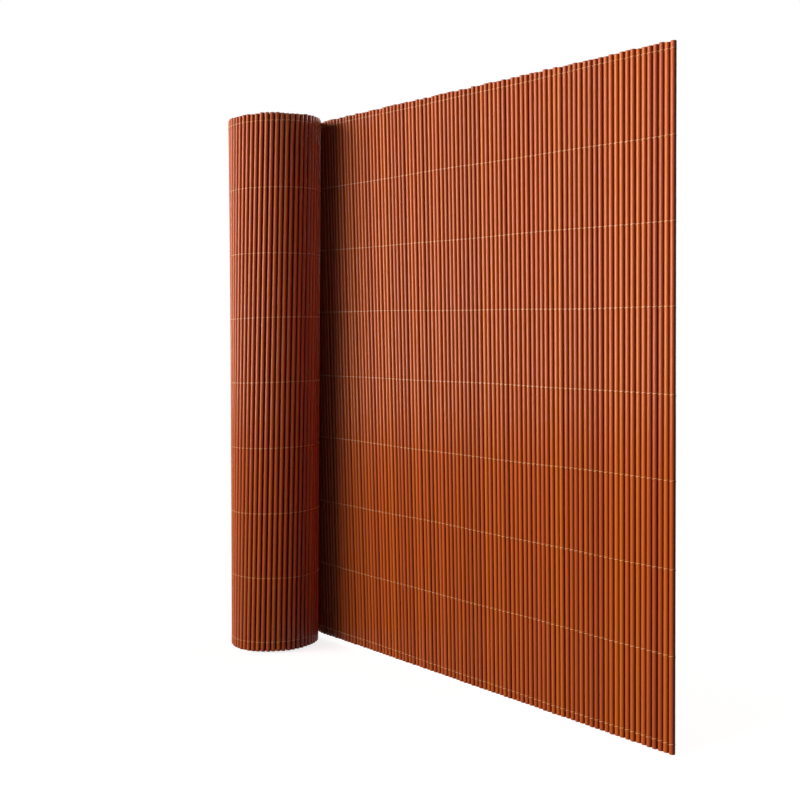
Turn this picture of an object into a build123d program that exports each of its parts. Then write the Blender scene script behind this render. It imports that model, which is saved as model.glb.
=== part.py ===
from build123d import *
import math
import os

# Wicker screen of round rods tied side by side, standing on its edge with one end still rolled up.
# The flat length lies along X, the roll is at its -X end on the -Y side, and the rods stand along Z.

# Driving dimensions, in millimetres
SCREEN_HEIGHT = 1000.0     # length of every rod
ROD_DIAMETER = 9.0         # measured across a rod's flats
ROD_SIDES = 8              # flats that draw a round rod, few because there are hundreds of rods
UNROLLED_LENGTH = 855.0    # flat length, from where it leaves the roll to its free end
ROLL_RADIUS = 93.5         # outside of the roll, where the flat length leaves it
ROLL_TURNS = 5.0           # turns of the mat in the roll
TURN_CLEARANCE = 0.2       # room between the threads of one turn and the next
TIE_ROWS = 9               # rows of twined thread
TIE_TOP_MARGIN = 13.0      # from the top of the rods to the first row
TIE_FOOT_MARGIN = 20.0     # from the last row to the foot of the rods
THREAD_THICKNESS = 0.7     # one strand of a tie
THREAD_SEAT = 0.1          # slack between a strand and the rods under it
HIDDEN_RODS = 4            # rods at the end of the outer turn that the flat length closes over
FAN_AT_FREE_END = 13.0     # how much nearer to the roll a rod's top is than its foot
FAN_AT_ROLL = 51.0         # the same where the flat length leaves the roll

# Sizes that follow from them
rod_radius = ROD_DIAMETER / 2
half_flat = rod_radius * math.tan(math.pi / ROD_SIDES)
rod_pitch = ROD_DIAMETER + THREAD_THICKNESS
turn_pitch = ROD_DIAMETER + 2 * THREAD_THICKNESS + TURN_CLEARANCE
flat_rods = round(UNROLLED_LENGTH / rod_pitch)
free_end = (flat_rods - 0.5) * rod_pitch
tie_spacing = (SCREEN_HEIGHT - TIE_TOP_MARGIN - TIE_FOOT_MARGIN) / (TIE_ROWS - 1)
tie_heights = [TIE_FOOT_MARGIN + row * tie_spacing for row in range(TIE_ROWS)]

# The middle of the mat winds inwards by one turn pitch a turn, so the square of its radius falls
# evenly with the length that has been rolled up
start_radius = ROLL_RADIUS - rod_radius
core_radius = start_radius - ROLL_TURNS * turn_pitch
rolled_length = math.pi * (start_radius**2 - core_radius**2) / turn_pitch
rolled_rods_count = int(rolled_length / rod_pitch)
rods_in_outer_turn = int(math.pi * (2 * start_radius - turn_pitch) / rod_pitch)


def mat_radius(length):
    """Radius of the mat's middle at a length past the line where the mat leaves the roll."""
    return math.sqrt(start_radius**2 - turn_pitch * length / math.pi)


def roll_point(length, outwards, onwards=0.0):
    """Point of the rolled mat, given outwards from its middle and onwards along it."""
    radius = mat_radius(length)
    angle = math.pi / 2 + 2 * math.pi * (start_radius - radius) / turn_pitch
    x = math.cos(angle) * (radius + outwards) - math.sin(angle) * onwards
    y = math.sin(angle) * (radius + outwards) + math.cos(angle) * onwards
    return (x, y - start_radius)


def fan(length):
    """How much nearer to the roll a rod's top is than its foot, at a length along the flat."""
    return FAN_AT_FREE_END + (FAN_AT_ROLL - FAN_AT_FREE_END) * (1 - length / free_end) ** 1.5


def rod_place(length, height):
    """Where a rod of the flat length is along it at a height, given where its middle is."""
    return length + fan(length) * (0.5 - height / SCREEN_HEIGHT)


def make_leaning_rod(length):
    """One rod of the flat length, cut level at both ends."""
    section = RegularPolygon(rod_radius, ROD_SIDES, major_radius=False, rotation=180 / ROD_SIDES)
    lean = Vector(-fan(length), 0, SCREEN_HEIGHT)
    return extrude(Pos(rod_place(length, 0), 0, 0) * section, lean.length, dir=lean.normalized())


def make_edge(low, high):
    """Closed edge of the wall, from an end of the rods to the outer tie, whose strands fill the gaps."""
    length = min(rod_place(free_end, low), rod_place(free_end, high))
    at_corner = (Align.MIN, Align.CENTER, Align.MIN)
    return Pos(0, 0, low) * Box(length, 2 * half_flat, high - low, align=at_corner)


def make_unrolled_rods():
    """The flat length: a wall of rods with a long gap between each two."""
    # The rods lean towards the roll, so some have only their lower ends in the flat length
    feet_only = int((FAN_AT_ROLL / 2 + rod_radius) / rod_pitch)
    rods = [make_leaning_rod((place + 0.5) * rod_pitch) for place in range(-feet_only, flat_rods)]
    foot_edge = make_edge(0, TIE_FOOT_MARGIN + THREAD_THICKNESS)
    top_edge = make_edge(SCREEN_HEIGHT - TIE_TOP_MARGIN - THREAD_THICKNESS, SCREEN_HEIGHT)
    # The wall ends half a gap from the line where the roll starts
    at_corner = (Align.MIN, Align.CENTER, Align.MIN)
    flat_room = Box(UNROLLED_LENGTH + ROLL_RADIUS, 2 * ROD_DIAMETER, SCREEN_HEIGHT, align=at_corner)
    return (foot_edge + rods + top_edge) & Pos(THREAD_THICKNESS / 2, 0, 0) * flat_room


def ridge_side(side):
    """One face of the rolled mat in plan: a groove and a crest for every rod."""
    corners = []
    for place in range(rolled_rods_count):
        middle = (place + 0.5) * rod_pitch
        corners.append(roll_point(place * rod_pitch, side * half_flat))
        corners.append(roll_point(middle, side * rod_radius, -half_flat))
        corners.append(roll_point(middle, side * rod_radius, half_flat))
    corners.append(roll_point(rolled_rods_count * rod_pitch, side * half_flat))
    return corners


def make_rolled_rods():
    """The rolled length: one ridged wall wound into a spiral round an open middle."""
    outline = Polyline(*ridge_side(1), *reversed(ridge_side(-1)), close=True)
    return extrude(make_face(outline), SCREEN_HEIGHT)


def thread_face(standoff, end):
    """One face of a tie in plan: along the front, round the free end, back, then round the roll."""
    reach = rod_radius + THREAD_SEAT + standoff
    corner = reach * math.tan(math.pi / ROD_SIDES)
    points = [
        (rod_pitch / 2, -reach),
        (end + corner, -reach),
        (end + reach, -corner),
        (end + reach, corner),
        (end + corner, reach),
        (rod_pitch / 2, reach),
    ]
    # Round the roll a strand bears on every second rod and passes over the one between
    for place in range(0, rods_in_outer_turn - HIDDEN_RODS, 2):
        length = (place + 0.5) * rod_pitch
        radius = mat_radius(length)
        rise = (radius + reach) / math.cos(rod_pitch / radius) - radius
        points.append(roll_point(length, rise))
    return points


def make_tie_thread(height):
    """One tie, drawn as a plain band over the crests of the rods."""
    end = rod_place(free_end, height)
    outline = Polyline(*thread_face(0, end), *reversed(thread_face(THREAD_THICKNESS, end)), close=True)
    return Pos(0, 0, height) * extrude(make_face(outline), THREAD_THICKNESS / 2, both=True)


pieces = {
    "unrolled_rods": make_unrolled_rods(),
    "rolled_rods": make_rolled_rods(),
}
for row, height in enumerate(reversed(tie_heights), start=1):
    pieces[f"tie_thread_{row}"] = make_tie_thread(height)

# The origin is on the ground, in the middle of the screen's box
box = Compound(list(pieces.values())).bounding_box()
to_origin = Pos(-box.center().X, -box.center().Y, -box.min.Z)

os.makedirs("parts", exist_ok=True)
for name, piece in pieces.items():
    export_step(to_origin * piece, f"parts/{name}.step")
print(flat_rods, "flat rods,", rolled_rods_count, "rolled rods,", round(box.size.X, 1), "mm long")
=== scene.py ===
# %% [markdown]
# # A wicker screen, partly unrolled
#
# A garden screen of this kind is a mat. Hundreds of thin plastic rods lie side by side, and rows of
# twined thread hold them. The mat here stands on its edge: one end is still rolled up, and the rest
# runs out of the roll in a straight wall. The solids of the part give the sizes, and this script
# dresses them: separate hollow rods, real strands of thread, and a finish for each.

# %% Load the solids and keep their box
import math
import random

import bmesh
import bpy
from mathutils import Matrix, Vector


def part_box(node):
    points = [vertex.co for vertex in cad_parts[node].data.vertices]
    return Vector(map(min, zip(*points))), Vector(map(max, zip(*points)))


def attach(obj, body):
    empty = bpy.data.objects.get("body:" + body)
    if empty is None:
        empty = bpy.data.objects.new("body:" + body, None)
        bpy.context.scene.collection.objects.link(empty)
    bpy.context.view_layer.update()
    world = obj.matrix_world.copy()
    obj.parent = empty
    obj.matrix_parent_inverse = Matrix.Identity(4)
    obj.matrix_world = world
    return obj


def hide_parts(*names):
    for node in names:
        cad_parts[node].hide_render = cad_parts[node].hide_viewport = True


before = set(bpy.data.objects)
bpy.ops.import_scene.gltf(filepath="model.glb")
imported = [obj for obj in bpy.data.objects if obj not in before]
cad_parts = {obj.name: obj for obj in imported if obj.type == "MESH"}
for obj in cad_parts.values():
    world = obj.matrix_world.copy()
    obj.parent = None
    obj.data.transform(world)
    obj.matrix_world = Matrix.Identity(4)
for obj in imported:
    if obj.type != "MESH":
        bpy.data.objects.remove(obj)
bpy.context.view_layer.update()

# %% [markdown]
# ## The line that the mat follows
#
# Every rod and every strand sits on one line, drawn in plan: straight along the wall, then winding
# inwards round the roll. It could be traced by hand as a curve, but a roll has a simple law. Each
# turn lies one turn pitch inside the last, so the square of the radius falls evenly with the length
# that is rolled up. One function of the length along the mat therefore gives every place on it.
# Lengths on the wall are negative, and the roll starts at zero.

# %% Sizes of the mat, read from the solids
flat_low, flat_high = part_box("unrolled_rods")
tie_low, tie_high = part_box("tie_thread_5")
rod_length = flat_high.z
rod_radius = (flat_high.y - flat_low.y) / 2
strand_thickness = tie_high.z - tie_low.z
rod_pitch = 2 * rod_radius + strand_thickness
flat_rods = int((flat_high.x - flat_low.x) / rod_pitch)
print(flat_rods, "rods in the wall, one every", round(rod_pitch * 1000, 2), "mm")

# %% The wall's straight line and the roll's spiral
ROLL_RADIUS = 0.089       # from the roll's axis to the middle of the mat, where the wall leaves it
ROLL_TURNS = 5
TURN_CLEARANCE = 0.0002   # room between the strands of one turn and the next

turn_pitch = 2 * (rod_radius + strand_thickness) + TURN_CLEARANCE
leave_roll = Vector((flat_low.x - strand_thickness / 2, (flat_low.y + flat_high.y) / 2, 0))
roll_axis = leave_roll - Vector((0, ROLL_RADIUS, 0))
core_radius = ROLL_RADIUS - ROLL_TURNS * turn_pitch
rolled_rods = int(math.pi * (ROLL_RADIUS**2 - core_radius**2) / turn_pitch / rod_pitch)


def turned_to(along):
    """Radius and angle of the roll at a length along the mat."""
    radius = math.sqrt(ROLL_RADIUS**2 - turn_pitch * along / math.pi)
    return radius, math.pi / 2 + math.tau * (ROLL_RADIUS - radius) / turn_pitch


def mat_place(along, outward):
    """Point in plan, given along the mat and outward from its middle."""
    if along <= 0:
        return leave_roll + Vector((-along, outward, 0))
    radius, angle = turned_to(along)
    return roll_axis + Vector((math.cos(angle), math.sin(angle), 0)) * (radius + outward)


inner_end = mat_place(rolled_rods * rod_pitch, 0)
print(rolled_rods, "rods in the roll, inner end", [round(part, 3) for part in inner_end])

# %% [markdown]
# ## How the rods stand
#
# A new screen would be a perfect grid, and a perfect grid looks false. On a real one the mat shears
# a little as it is unrolled: the rods fan, so their tops reach further round the roll than their
# feet, most of all where the wall leaves the roll. A mat that leans winds downwards too, so there
# the wall is a little higher than the roll, and the ends of the roll are slanted. The roll is wound
# tighter at its foot. All of these are smooth functions of the length along the mat, and small
# seeded chances come on top.

# %% Fan of the rods, rise of the wall and slant of the roll
FREE_END_FAN = 0.013      # a rod's top ahead of its foot, at the wall's free end
ROLL_FAN = 0.017          # the same inside the roll
FAN_GAIN = 0.034          # what is added where the wall leaves the roll
FAN_CURVE = 1.5           # power with which the fan grows along the wall
FAN_FADES_OVER = 0.36     # length of the roll in which the gain is lost again
WALL_RISE = 0.008         # the wall's foot over the floor, where it leaves the roll
RISE_FADES_OVER = 0.2     # length of the roll in which its own form takes over from the wall's
ROLL_SLANT = 0.005        # high side of the roll's end over its low side
HIGH_SIDE = math.radians(49)

wall_length = flat_rods * rod_pitch


def clamp(share):
    """A share, kept between 0 and 1."""
    return min(max(share, 0), 1)


def fan(along):
    """How far a rod's top is ahead of its foot along the mat."""
    if along < 0:
        near = 1 + along / wall_length
        return FREE_END_FAN + (ROLL_FAN + FAN_GAIN - FREE_END_FAN) * near**FAN_CURVE
    return ROLL_FAN + FAN_GAIN * max(0, 1 - along / FAN_FADES_OVER)


def lift(along):
    """How far a rod's foot is over the floor."""
    if along <= 0:
        return WALL_RISE * (1 + along / wall_length)
    share = clamp(along / RISE_FADES_OVER)
    slant = ROLL_SLANT * (1 + math.cos(turned_to(along)[1] - HIGH_SIDE)) / 2
    return WALL_RISE * (1 - share) + slant * share


print("fan from", FREE_END_FAN * 1000, "to", round(fan(0) * 1000), "mm over a rod's length")

# %% Foot and top of every rod
ROLL_LEAN = Vector((0.0035, 0.004, 0))   # the roll's top over its foot
LEAN_FADES_OVER = 0.15    # length of the wall in which the lean is lost
ROLL_TAPER = 0.04         # how much tighter the roll is wound at its foot
WALL_UNEVEN = 0.0007      # how far a rod may stand out of the mat, either way
ROLL_UNEVEN = 0.0003
SPACING_UNEVEN = 0.00025  # how far it may be from its place along the mat, either way
FAN_UNEVEN = 0.0001       # how far half its fan may differ, either way
FOOT_UNEVEN = 0.0006      # how far its foot may be high
TOP_UNEVEN = (-0.0012, 0.0008)   # how far its top may be low or high
chance = random.Random(11)


def stand_rod(place):
    """Foot and top of one rod, the way it faces, and its shade between 0 and 1."""
    along = (place + 0.5) * rod_pitch + chance.uniform(-SPACING_UNEVEN, SPACING_UNEVEN)
    outward = chance.uniform(-1, 1) * (WALL_UNEVEN if along < 0 else ROLL_UNEVEN)
    half_fan = fan(along) / 2 + chance.uniform(-FAN_UNEVEN, FAN_UNEVEN)
    if along > 0:
        # A leaning rod cuts across the roll's curve, so its ends stand out to keep its middle in place
        outward += half_fan**2 / (2 * turned_to(along)[0])
    foot = mat_place(along - half_fan, outward)
    top = mat_place(along + half_fan, outward)
    foot = foot.lerp(roll_axis, ROLL_TAPER * clamp(along / RISE_FADES_OVER))
    half_lean = ROLL_LEAN / 2 * clamp(1 + along / LEAN_FADES_OVER)
    foot -= half_lean
    top += half_lean
    foot.z = lift(along) + chance.uniform(0, FOOT_UNEVEN)
    top.z = rod_length + lift(along) + chance.uniform(*TOP_UNEVEN)
    facing = (mat_place(along, 1) - mat_place(along, 0)).normalized()
    return foot, top, facing, chance.random()


rods = [stand_rod(place) for place in range(-flat_rods, rolled_rods)]
far_side = min(top.x for foot, top, facing, shade in rods)
print(len(rods), "rods stand between x", round(rods[0][0].x, 3), "and", round(far_side, 3))

# %% [markdown]
# ## The rods
#
# Each rod is a length of extruded plastic tube, so it is hollow and its ends are cut square. A rod
# could be an instance or an array, but every rod here has its own foot, top and shade. So one tube
# is made by giving an open cylinder a wall, and it is copied into the mesh once for each rod. Few
# sides are enough, because smooth shading rounds them and there are hundreds of rods. Two numbers
# are kept on the vertices, where the material can read them: the shade of the rod, and how much a
# place on it faces the next rod.

# %% One tube, a metre long, standing on the origin
TUBE_SIDES = 12
TUBE_WALL = 0.001


def to_mesh(bm, name):
    """Mesh with what a bmesh holds, which is then freed."""
    mesh = bpy.data.meshes.new(name)
    bm.to_mesh(mesh)
    bm.free()
    return mesh


def make_tube():
    """Open cylinder with a wall, from 0 to 1 in height."""
    bm = bmesh.new()
    bmesh.ops.create_cone(
        bm, segments=TUBE_SIDES, radius1=rod_radius, radius2=rod_radius, depth=1,
        matrix=Matrix.Translation((0, 0, 0.5)),
    )
    bmesh.ops.recalc_face_normals(bm, faces=bm.faces)
    bmesh.ops.solidify(bm, geom=bm.faces[:], thickness=TUBE_WALL)
    side_layer = bm.verts.layers.float.new("rod_side")
    for vert in bm.verts:
        vert[side_layer] = abs(vert.co.x) / vert.co.xy.length
    return to_mesh(bm, "tube")


tube = make_tube()
radii = sorted({round(vert.co.xy.length * 1000, 2) for vert in tube.vertices})
print("tube:", len(tube.polygons), "faces, radii", radii, "mm")

# %% Copy the tube into a mesh of rods
SHARP_EDGE = 50           # degrees: a tube is smooth round its sides and sharp at its ends


def add_copy(bm, mesh):
    """Adds a mesh to a bmesh and returns the vertices that came with it."""
    first = len(bm.verts)
    bm.from_mesh(mesh)
    bm.verts.ensure_lookup_table()
    return bm.verts[first:]


def add_object(name, data):
    """New object in the scene."""
    item = bpy.data.objects.new(name, data)
    bpy.context.scene.collection.objects.link(item)
    return item


def finish_piece(bm, name, slot, *nodes, sharp=None):
    """Makes an object of a bmesh, in the place of its solids."""
    mesh = to_mesh(bm, name)
    mesh.shade_smooth()
    if sharp:
        mesh.set_sharp_from_angle(angle=math.radians(sharp))
    piece = add_object(name, mesh)
    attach(piece, "root")
    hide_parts(*nodes)
    print(name, len(mesh.polygons), "faces")
    return piece


def lay_rods(name, node, standing):
    """All the rods of one solid as one mesh, each with its own shade."""
    bm = bmesh.new()
    bm.verts.layers.float.new("rod_side")
    shade_layer = bm.verts.layers.float.new("rod_shade")
    for foot, top, facing, shade in standing:
        beside = facing.cross(Vector((0, 0, 1)))
        lean = Matrix((beside, facing, top - foot)).transposed().to_4x4()
        lean.translation = foot
        verts = add_copy(bm, tube)
        bmesh.ops.transform(bm, matrix=lean, verts=verts)
        for vert in verts:
            vert[shade_layer] = shade
    return finish_piece(bm, name, "rods", node, sharp=SHARP_EDGE)


wall = lay_rods("wall_rods", "unrolled_rods", rods[:flat_rods])
roll = lay_rods("roll_rods", "rolled_rods", rods[flat_rods:])

# %% [markdown]
# ## The twined ties
#
# A tie is two strands. At each rod one strand passes in front and the other behind, and they cross
# in the gap before the next rod, always with the same twist. So what happens at one rod is the same
# at all of them: one half loop in front that climbs, and one behind that falls. A small ring spun
# half a turn round the rod draws each half loop. That pattern is copied to every rod, bent to the
# line of the mat, and its rings are welded in the gaps, which makes two strands of full length.

# %% The pattern of a tie at one rod
STRAND_SIDES = 6
STRAND_RADIUS = 0.00028
LOOP_STEPS = 6
TWIST_CLIMB = 0.0014      # how far a strand is over or under the tie's middle, where the two cross


def make_crossing():
    """Half a loop round each side of a rod that stands at the origin."""
    bm = bmesh.new()
    for side in (1, -1):
        start = Matrix.Translation((-rod_pitch / 2, 0, -side * TWIST_CLIMB))
        ring = bmesh.ops.create_circle(
            bm, segments=STRAND_SIDES, radius=STRAND_RADIUS,
            matrix=start @ Matrix.Rotation(math.pi / 2, 4, "X"),
        )["verts"]
        edges = list({edge for vert in ring for edge in vert.link_edges})
        bmesh.ops.spin(
            bm, geom=ring + edges, cent=(0, 0, 0), axis=(0, 0, 1), angle=-side * math.pi,
            steps=LOOP_STEPS, dvec=(0, 0, side * 2 * TWIST_CLIMB / LOOP_STEPS),
        )
    side_layer = bm.verts.layers.float.new("rod_side")
    for vert in bm.verts:
        vert[side_layer] = min(1, abs(vert.co.x) / (rod_pitch / 2))
    return to_mesh(bm, "crossing")


crossing = make_crossing()
heights = [round(vert.co.z * 1000, 2) for vert in crossing.vertices]
print("crossing:", len(crossing.polygons), "faces, from", min(heights), "to", max(heights), "mm")

# %% Lay each tie over all the rods
WALL_DRIFT = (2, 6, 7, 9, 8, 7, 3, 0, -6)      # millimetres, from the top row down
ROLL_DRIFT = (0, -1, 0, 2, 2, 2, -1, -2, -2)
WANDER = 0.0012           # the most that the waves of a tie come to
SLOW_WAVE = (0.6, 8.1, 2.4)      # share of the wander, radians a metre, radians from row to row
QUICK_WAVE = (0.4, 21.7, 4.9)


def wander(row, along):
    """A tie is never quite level: a drift of the whole row, and two waves along it."""
    rolled = clamp(along / RISE_FADES_OVER)
    drift = WALL_DRIFT[row - 1] * (1 - rolled) + ROLL_DRIFT[row - 1] * rolled
    waves = 0
    for share, pace, shift in (SLOW_WAVE, QUICK_WAVE):
        waves += share * math.sin(along * pace + row * shift)
    return drift / 1000 + WANDER * waves


def middle_of(index, height):
    """Middle of a rod at a height, going on evenly past the first and last rods."""
    inside = min(max(index, 0), len(rods) - 1)
    foot, top = rods[inside][:2]
    middle = foot.lerp(top, height / rod_length).xy
    if index != inside:
        middle = 2 * middle - middle_of(2 * inside - index, height)
    return middle


def outward_at(before, after):
    """Direction in plan that is square to the mat, away from the roll's middle."""
    onward = after - before
    return Vector((onward.y, -onward.x)).normalized()


def lay_tie(row, node):
    """Two strands twined through all the rods, at the height of a solid tie."""
    low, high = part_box(node)
    height = (low.z + high.z) / 2
    middles = [middle_of(index, height) for index in range(-2, len(rods) + 2)]
    across = [outward_at(before, after) for before, after in zip(middles, middles[2:])]
    middles = middles[1:-1]
    bm = bmesh.new()
    bm.verts.layers.float.new("rod_side")
    for index in range(len(rods)):
        for vert in add_copy(bm, crossing):
            share = vert.co.x / rod_pitch
            along = (index - flat_rods + 0.5 + share) * rod_pitch
            beside = index + (2 if share > 0 else 0)
            place = middles[index + 1].lerp(middles[beside], abs(share))
            outward = across[index + 1].lerp(across[beside], abs(share))
            level = height + lift(along) + wander(row, along) + vert.co.z
            vert.co = (place + outward * vert.co.y).to_3d() + Vector((0, 0, level))
    bmesh.ops.remove_doubles(bm, verts=bm.verts, dist=strand_thickness / 10)
    ends = [edge for edge in bm.edges if edge.is_boundary]
    bmesh.ops.holes_fill(bm, edges=ends, sides=STRAND_SIDES)
    bmesh.ops.recalc_face_normals(bm, faces=bm.faces)
    return finish_piece(bm, f"tie_{row}", "thread", node)


ties = [lay_tie(row, f"tie_thread_{row}") for row in range(1, 10)]

# %% [markdown]
# ## Finishes
#
# The rods are reddish-brown plastic with a soft gloss. No two are quite the same colour, because
# they come from different batches of dye, so a colour ramp reads the shade that each rod carries.
# Drawing the plastic through a die leaves fine lines along it. Where rods face each other, shade is
# painted into the colour: the sides are darkened and dulled as the grooves between rods would be in
# shade. The thread gets fine fibres and the same painted shade where it dives between the rods, so
# each of these two effects is one node group that both materials use, with their own values. The
# gloss is a thin coat over the plastic, which fades out where the painted shade is.

# %% Fine lines, as a node group
NUMBER = "NodeSocketFloat"
COLOUR = "NodeSocketColor"


def start_group(name, inputs, outputs):
    """New node group with these sockets, and its input and output nodes."""
    group = bpy.data.node_groups.new(name, "ShaderNodeTree")
    for socket, kind in inputs.items():
        group.interface.new_socket(socket, in_out="INPUT", socket_type=kind)
    for socket, kind in outputs.items():
        group.interface.new_socket(socket, in_out="OUTPUT", socket_type=kind)
    print(name, "from", list(inputs), "to", list(outputs))
    return group, group.nodes.new("NodeGroupInput"), group.nodes.new("NodeGroupOutput")


def add_noise(nodes, links, place, scale, detail):
    """Value of a noise at a place."""
    noise = nodes.new("ShaderNodeTexNoise")
    noise.inputs["Scale"].default_value = scale
    noise.inputs["Detail"].default_value = detail
    links.new(place, noise.inputs["Vector"])
    return noise.outputs["Fac"]


def make_fine_lines():
    """Noise stretched along the height: a mask for colour and roughness, and a height for bump."""
    group, given, result = start_group(
        "fine_lines", {"Across": NUMBER, "Lengthways": NUMBER}, {"Mask": NUMBER, "Height": NUMBER},
    )
    nodes, links = group.nodes, group.links
    coordinates = nodes.new("ShaderNodeTexCoord")
    scales = nodes.new("ShaderNodeCombineXYZ")
    stretched = nodes.new("ShaderNodeVectorMath")
    stretched.operation = "MULTIPLY"
    for axis in ("X", "Y"):
        links.new(given.outputs["Across"], scales.inputs[axis])
    links.new(given.outputs["Lengthways"], scales.inputs["Z"])
    links.new(coordinates.outputs["Object"], stretched.inputs[0])
    links.new(scales.outputs["Vector"], stretched.inputs[1])
    place = stretched.outputs["Vector"]
    links.new(add_noise(nodes, links, place, scale=0.35, detail=3), result.inputs["Mask"])
    links.new(add_noise(nodes, links, place, scale=1, detail=2), result.inputs["Height"])
    return group


fine_lines = make_fine_lines()

# %% A material with fine lines in it
BUMP_DEPTH = 0.0003


def start_material(name, across, lengthways, roughness, bump):
    """Principled surface whose roughness and bump follow the fine lines."""
    material = bpy.data.materials.new(name)
    material.use_nodes = True
    nodes, links = material.node_tree.nodes, material.node_tree.links
    surface = nodes["Principled BSDF"]
    lines = nodes.new("ShaderNodeGroup")
    lines.node_tree = fine_lines
    lines.inputs["Across"].default_value = across
    lines.inputs["Lengthways"].default_value = lengthways
    gloss = nodes.new("ShaderNodeMapRange")
    gloss.inputs["To Min"].default_value = roughness[0]
    gloss.inputs["To Max"].default_value = roughness[1]
    relief = nodes.new("ShaderNodeBump")
    relief.inputs["Strength"].default_value = bump
    relief.inputs["Distance"].default_value = BUMP_DEPTH
    links.new(lines.outputs["Mask"], gloss.inputs["Value"])
    links.new(gloss.outputs["Result"], surface.inputs["Roughness"])
    links.new(lines.outputs["Height"], relief.inputs["Height"])
    links.new(relief.outputs["Normal"], surface.inputs["Normal"])
    return material, nodes, links, surface, lines


def shade_ramp(nodes, colours):
    """Colour ramp through evenly spaced colours."""
    ramp = nodes.new("ShaderNodeValToRGB")
    points = ramp.color_ramp.elements
    while len(points) < len(colours):
        points.new(0.5)
    for place, (point, colour) in enumerate(zip(points, colours)):
        point.position = place / (len(colours) - 1)
        point.color = (*colour, 1)
    return ramp


# %% Painted shade between the rods, as a node group
def multiply(nodes, links, colour, mask):
    """Mix node that multiplies a colour by its colour B where a mask is high."""
    mix = nodes.new("ShaderNodeMix")
    mix.data_type = "RGBA"
    mix.blend_type = "MULTIPLY"
    links.new(mask, mix.inputs["Factor"])
    links.new(colour, mix.inputs["A"])
    return mix


def make_painted_groove_shade():
    """A colour with painted shade on the places that face the next rod, and a mask of what is left
    unshaded.
    """
    group, given, result = start_group(
        "painted_groove_shade",
        {"Color": COLOUR, "Painted Shade": COLOUR, "Power": NUMBER},
        {"Color": COLOUR, "Unshaded": NUMBER},
    )
    nodes, links = group.nodes, group.links
    # Painted shade: the colour is darkened where a place faces the next rod, as the groove there would
    # be shaded.
    side = nodes.new("ShaderNodeAttribute")
    side.attribute_name = "rod_side"
    mask = nodes.new("ShaderNodeMath")
    mask.operation = "POWER"
    unshaded_share = nodes.new("ShaderNodeMath")
    unshaded_share.operation = "SUBTRACT"
    unshaded_share.inputs[0].default_value = 1
    links.new(side.outputs["Fac"], mask.inputs[0])
    links.new(given.outputs["Power"], mask.inputs[1])
    links.new(mask.outputs["Value"], unshaded_share.inputs[1])
    shaded_colour = multiply(nodes, links, given.outputs["Color"], mask.outputs["Value"])
    links.new(given.outputs["Painted Shade"], shaded_colour.inputs["B"])
    links.new(shaded_colour.outputs["Result"], result.inputs["Color"])
    links.new(unshaded_share.outputs["Value"], result.inputs["Unshaded"])
    return group


painted_groove_shade = make_painted_groove_shade()


def paint_groove_shade(nodes, links, colour, shade_tone, power):
    """Painted shade on the sides that face the next rod, as a node of a material."""
    node = nodes.new("ShaderNodeGroup")
    node.node_tree = painted_groove_shade
    node.inputs["Painted Shade"].default_value = (*shade_tone, 1)
    node.inputs["Power"].default_value = power
    links.new(colour, node.inputs["Color"])
    return node


# %% The rods' plastic
DYES = [
    (0.445, 0.067, 0.004),
    (0.635, 0.126, 0.001),
    (0.555, 0.093, 0.001),
    (0.585, 0.099, 0.005),
    (0.475, 0.073, 0.001),
]
STREAK = (0.8, 0.75, 0.72, 1)
COAT = 0.37

plastic, nodes, links, surface, lines = start_material(
    "rod_plastic", across=700, lengthways=2.5, roughness=(0.16, 0.27), bump=0.1,
)
shade = nodes.new("ShaderNodeAttribute")
shade.attribute_name = "rod_shade"
dye = shade_ramp(nodes, DYES)
links.new(shade.outputs["Fac"], dye.inputs["Fac"])
streaked = multiply(nodes, links, dye.outputs["Color"], lines.outputs["Mask"])
streaked.inputs["B"].default_value = STREAK
# Painted shade: where a rod faces the next one its colour is darkened to a deep red-brown, as if in
# shadow.
sides = paint_groove_shade(nodes, links, streaked.outputs["Result"], shade_tone=(0.28, 0.03, 0.01), power=3)
links.new(sides.outputs["Color"], surface.inputs["Base Color"])

# The coat fades out with the painted shade, so the shaded sides also reflect less.
gloss = nodes.new("ShaderNodeMath")
gloss.operation = "MULTIPLY"
gloss.inputs[1].default_value = COAT
links.new(sides.outputs["Unshaded"], gloss.inputs[0])
links.new(gloss.outputs["Value"], surface.inputs["Coat Weight"])
surface.inputs["Coat Roughness"].default_value = 0.2
surface.inputs["Specular IOR Level"].default_value = 0.05
for piece in (wall, roll):
    piece.data.materials.append(plastic)
print("rods:", plastic.name, len(plastic.node_tree.nodes), "nodes")

# %% The thread
FIBRES = [(0.98, 0.54, 0.21), (1.00, 0.71, 0.33)]

thread, nodes, links, surface, lines = start_material(
    "pale_thread", across=4000, lengthways=4000, roughness=(0.7, 0.9), bump=0.3,
)
surface.inputs["Specular IOR Level"].default_value = 0.1
fibre = shade_ramp(nodes, FIBRES)
links.new(lines.outputs["Mask"], fibre.inputs["Fac"])
# Painted shade: the thread is darkened where it dives between the rods.
sides = paint_groove_shade(nodes, links, fibre.outputs["Color"], shade_tone=(0.12, 0.04, 0.02), power=3)
links.new(sides.outputs["Color"], surface.inputs["Base Color"])
for tie in ties:
    tie.data.materials.append(thread)
print("thread:", thread.name, "on", len(ties), "ties")

# %% [markdown]
# ## Floor and light
#
# The screen stands on a plain white floor. One wide soft lamp, in front of the roll and a little
# higher than it, lights the wall evenly, and the roll throws a soft shadow on the start of it. A
# weaker lamp lights the back, and the wall keeps its light from the front. The floor and the world
# look white to the camera and in reflections, but they give little light, because light from all
# sides would flatten the grooves between the rods.

# %% White for the camera, dim as a light
WORLD_LIGHT = 0.02


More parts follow.
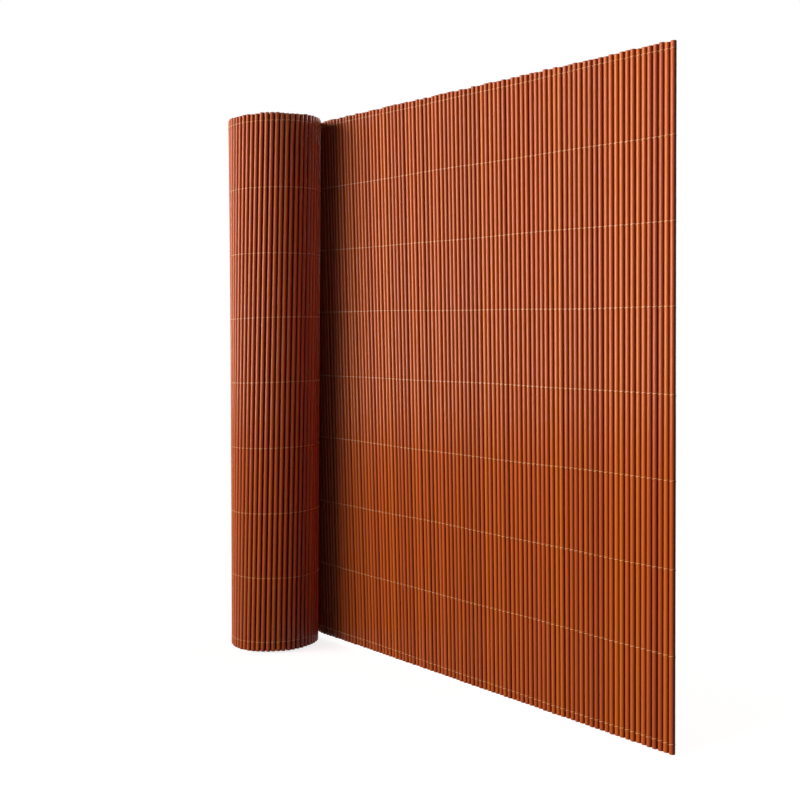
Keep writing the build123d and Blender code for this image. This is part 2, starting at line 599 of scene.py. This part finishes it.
def seen_directly(nodes, links):
    """1 for rays from the camera and for reflected and refracted ones, else 0."""
    path = nodes.new("ShaderNodeLightPath")
    first, second = nodes.new("ShaderNodeMath"), nodes.new("ShaderNodeMath")
    first.operation = second.operation = "MAXIMUM"
    links.new(path.outputs["Is Camera Ray"], first.inputs[0])
    links.new(path.outputs["Is Glossy Ray"], first.inputs[1])
    links.new(first.outputs["Value"], second.inputs[0])
    links.new(path.outputs["Is Transmission Ray"], second.inputs[1])
    return second.outputs["Value"]


world = bpy.data.worlds.new("studio")
world.use_nodes = True
bpy.context.scene.world = world
nodes, links = world.node_tree.nodes, world.node_tree.links
sky = nodes["Background"]
sky.inputs["Color"].default_value = (1, 1, 1, 1)
strength = nodes.new("ShaderNodeMapRange")
strength.inputs["To Min"].default_value = WORLD_LIGHT
strength.inputs["To Max"].default_value = 1
links.new(seen_directly(nodes, links), strength.inputs["Value"])
links.new(strength.outputs["Result"], sky.inputs["Strength"])
print("world gives", WORLD_LIGHT, "of white")

# %% The floor
FLOOR_REACH = 12
SHADOW_FADES = (0.5, 1.6)   # distances from the origin where the shadow starts to fade and is gone


def make_floor():
    """A wide square under the screen."""
    bm = bmesh.new()
    bmesh.ops.create_grid(bm, x_segments=1, y_segments=1, size=FLOOR_REACH)
    floor = add_object("floor", to_mesh(bm, "floor"))
    return floor


def make_paper():
    """White to the camera, with a soft shadow near the screen, and dim to light that bounces."""
    paper = bpy.data.materials.new("white_paper")
    paper.use_nodes = True
    nodes, links = paper.node_tree.nodes, paper.node_tree.links
    near = nodes["Principled BSDF"]
    near.inputs["Base Color"].default_value = (0.5, 0.5, 0.5, 1)
    near.inputs["Roughness"].default_value = 1
    near.inputs["Specular IOR Level"].default_value = 0
    near.inputs["Emission Color"].default_value = (1, 1, 1, 1)
    near.inputs["Emission Strength"].default_value = 0.82
    far = nodes.new("ShaderNodeEmission")
    bounce = nodes.new("ShaderNodeBsdfDiffuse")
    bounce.inputs["Color"].default_value = (0.1, 0.1, 0.1, 1)
    coordinates = nodes.new("ShaderNodeTexCoord")
    distance = nodes.new("ShaderNodeVectorMath")
    distance.operation = "LENGTH"
    fade = nodes.new("ShaderNodeMapRange")
    fade.interpolation_type = "SMOOTHSTEP"
    fade.inputs["From Min"].default_value = SHADOW_FADES[0]
    fade.inputs["From Max"].default_value = SHADOW_FADES[1]
    seen = nodes.new("ShaderNodeMixShader")
    either = nodes.new("ShaderNodeMixShader")
    links.new(coordinates.outputs["Object"], distance.inputs[0])
    links.new(distance.outputs["Value"], fade.inputs["Value"])
    links.new(fade.outputs["Result"], seen.inputs["Fac"])
    links.new(near.outputs["BSDF"], seen.inputs[1])
    links.new(far.outputs["Emission"], seen.inputs[2])
    links.new(seen_directly(nodes, links), either.inputs["Fac"])
    links.new(bounce.outputs["BSDF"], either.inputs[1])
    links.new(seen.outputs["Shader"], either.inputs[2])
    links.new(either.outputs["Shader"], nodes["Material Output"].inputs["Surface"])
    return paper


floor = make_floor()
floor.data.materials.append(make_paper())
print("floor", floor.data.materials[0].name)

# %% The lamps
def hang_lamp(name, place, target, size, spread, watts):
    """Soft rectangular lamp that faces a point, with a beam of that spread in degrees."""
    light = bpy.data.lights.new(name, "AREA")
    light.shape = "RECTANGLE"
    light.size, light.size_y = size
    light.spread = math.radians(spread)
    light.energy = watts
    lamp = add_object(name, light)
    lamp.location = place
    lamp.rotation_euler = (Vector(target) - Vector(place)).to_track_quat("-Z", "Y").to_euler()
    lamp.visible_camera = False
    print(name, watts, "W at", place)


hang_lamp(
    "key_lamp", place=(-0.41, -3.35, 1.24), target=(2.05, -0.2, 1.24),
    size=(4.55, 2.0), spread=105, watts=105,
)
hang_lamp(
    "back_lamp", place=(0.4, 3.0, 1.3), target=(0, 0, 0.5),
    size=(3.0, 2.0), spread=105, watts=35,
)

# %% [markdown]
# ## Camera
#
# The photo was taken from the right of the roll, a little above half the screen's height. The wall's
# two straight edges meet at the horizon, which gave the height and the turn of the camera, and the
# length of the wall against its height gave the lens.

# %% Place the camera
FROM_ROLL = Vector((1.7794, -1.3004, 0.5876))   # the camera, seen from where the wall leaves the roll
TILT_DOWN = 3.101         # degrees
TURN_LEFT = 49.407

camera = add_object("camera", bpy.data.cameras.new("camera"))
camera.data.sensor_width = 36
camera.data.lens = 49.99
camera.location = leave_roll + FROM_ROLL
camera.rotation_euler = (math.radians(90 - TILT_DOWN), 0, math.radians(TURN_LEFT))
bpy.context.scene.camera = camera
bpy.context.scene.view_settings.view_transform = "Standard"
print("camera at", [round(part, 3) for part in camera.location])
